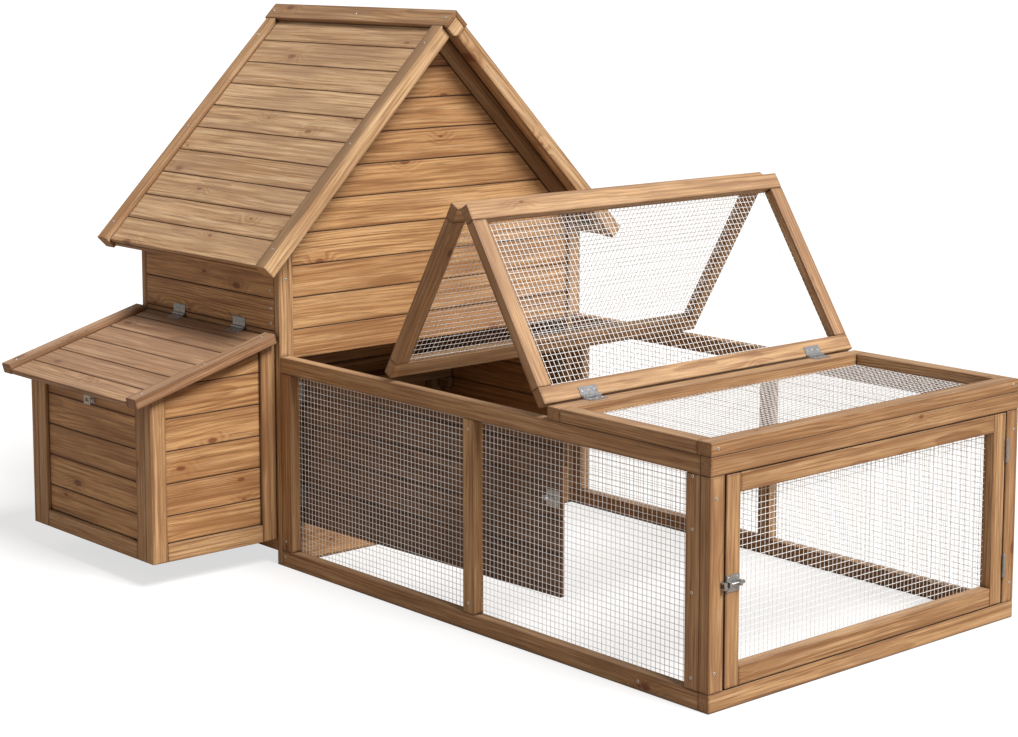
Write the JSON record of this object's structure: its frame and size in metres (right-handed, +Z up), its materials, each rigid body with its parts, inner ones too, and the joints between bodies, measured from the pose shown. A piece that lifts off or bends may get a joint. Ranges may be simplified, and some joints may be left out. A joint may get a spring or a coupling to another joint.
{
  "type": "chicken coop",
  "caption": "Planked timber hen house with a steep gable roof, a side nest box under a sloping lid and a low mesh run with folding lids and an end door",
  "frame": {"origin": "on the ground under the middle of the whole coop", "axes": "X runs from the house to the end of the run, Y from the nest box to the back, Z up"},
  "size_m": [2.063, 1.4374, 1.2959],
  "materials": {
    "frame_wood": "stained softwood, satin",
    "board_wood": "stained softwood boards, matt",
    "roof_wood": "stained softwood boards, weathered",
    "inner_wood": "sawn softwood, untreated",
    "galvanised_steel": "bright zinc plate",
    "wire_mesh": "galvanised welded wire"
  },
  "bodies": {
    "coop": {"gable_stiles": "frame_wood", "gable_rafters": "frame_wood", "front_gable_boards": "board_wood", "rear_gable_boards": "board_wood", "front_sill_board": "board_wood", "nest_side_wall_boards": "board_wood", "back_side_wall_boards": "board_wood", "wall_framing": "inner_wood", "floor_boards": "inner_wood", "floor_bearers": "inner_wood", "perch": "inner_wood", "roof_boards_nest_side": "roof_wood", "roof_boards_back_side": "roof_wood", "verge_battens": "roof_wood", "roof_battens": "roof_wood", "ridge_cap_boards": "roof_wood", "ridge_end_blocks": "roof_wood", "nest_side_frames": "frame_wood", "nest_side_boards": "board_wood", "nest_front_frame": "frame_wood", "nest_front_boards": "board_wood", "nest_floor": "inner_wood", "nest_divider": "inner_wood", "nest_staple": "galvanised_steel", "run_front_frame": "frame_wood", "run_back_frame": "frame_wood", "run_end_frame": "frame_wood", "run_top_frame": "frame_wood", "run_mesh_panels": "wire_mesh", "fixed_hinge_leaves": "galvanised_steel", "hinge_pins": "galvanised_steel", "bolt_keepers": "galvanised_steel", "coop_screws": "galvanised_steel"},
    "near_lid": {"near_lid_frame": "frame_wood", "near_lid_mesh": "wire_mesh", "near_lid_hinge_leaves": "galvanised_steel", "ridge_hinge_pins": "galvanised_steel", "near_lid_screws": "galvanised_steel"},
    "far_lid": {"far_lid_frame": "frame_wood", "far_lid_mesh": "wire_mesh", "far_lid_hinge_leaves": "galvanised_steel", "far_lid_screws": "galvanised_steel"},
    "end_door": {"end_door_frame": "frame_wood", "end_door_mesh": "wire_mesh", "end_door_hinge_leaves": "galvanised_steel", "end_door_bolt_plate": "galvanised_steel", "end_door_screws": "galvanised_steel"},
    "end_door_bolt": {"end_door_bolt_rod": "galvanised_steel"},
    "nest_lid": {"nest_lid_boards": "roof_wood", "nest_lid_battens": "roof_wood", "nest_lid_hinge_leaves": "galvanised_steel", "nest_hasp_pin": "galvanised_steel", "nest_lid_screws": "galvanised_steel"},
    "nest_hasp": {"nest_hasp_flap": "galvanised_steel"},
    "house_door": {"house_door_boards": "board_wood", "house_door_ledges": "inner_wood", "house_door_hinge_leaves": "galvanised_steel", "house_door_bolt_plate": "galvanised_steel", "house_door_screws": "galvanised_steel"},
    "house_door_bolt": {"house_door_bolt_rod": "galvanised_steel"}
  },
  "joints": [
    {"name": "near_lid_hinge", "type": "hinge", "parent": "coop", "child": "near_lid", "pos_m": [0.5575, 0.15485, 0.532], "axis": [0, 1, 0], "range_deg": [-57.6, 22]},
    {"name": "far_lid_hinge", "type": "hinge", "parent": "near_lid", "child": "far_lid", "pos_m": [0.284, 0.15485, 0.90324], "axis": [0, 1, 0], "range_deg": [-45, 117.5]},
    {"name": "end_door_hinge", "type": "hinge", "parent": "coop", "child": "end_door", "pos_m": [1.0205, 0.59135, 0.25], "axis": [0, 0, 1], "range_deg": [0, 110]},
    {"name": "end_door_bolt_slide", "type": "slide", "parent": "end_door", "child": "end_door_bolt", "axis": [0, -1, 0], "range_m": [0, 0.018]},
    {"name": "nest_lid_hinge", "type": "hinge", "parent": "coop", "child": "nest_lid", "pos_m": [-0.6615, -0.32665, 0.5506], "axis": [-1, 0, 0], "range_deg": [0, 70]},
    {"name": "nest_hasp_hinge", "type": "hinge", "parent": "nest_lid", "child": "nest_hasp", "pos_m": [-0.6445, -0.67463, 0.43401], "axis": [-1, 0, 0], "range_deg": [0, 70]},
    {"name": "house_door_hinge", "type": "hinge", "parent": "coop", "child": "house_door", "pos_m": [-0.3595, -0.28165, 0.29], "axis": [0, 0, 1], "range_deg": [0, 87.5]},
    {"name": "house_door_bolt_slide", "type": "slide", "parent": "house_door", "child": "house_door_bolt", "axis": [0.999, 0.0436, 0], "range_m": [0, 0.016]}
  ],
  "couplings": [
    {"joint": "far_lid_hinge", "follows": "near_lid_hinge", "ratio": -2.035}
  ]
}
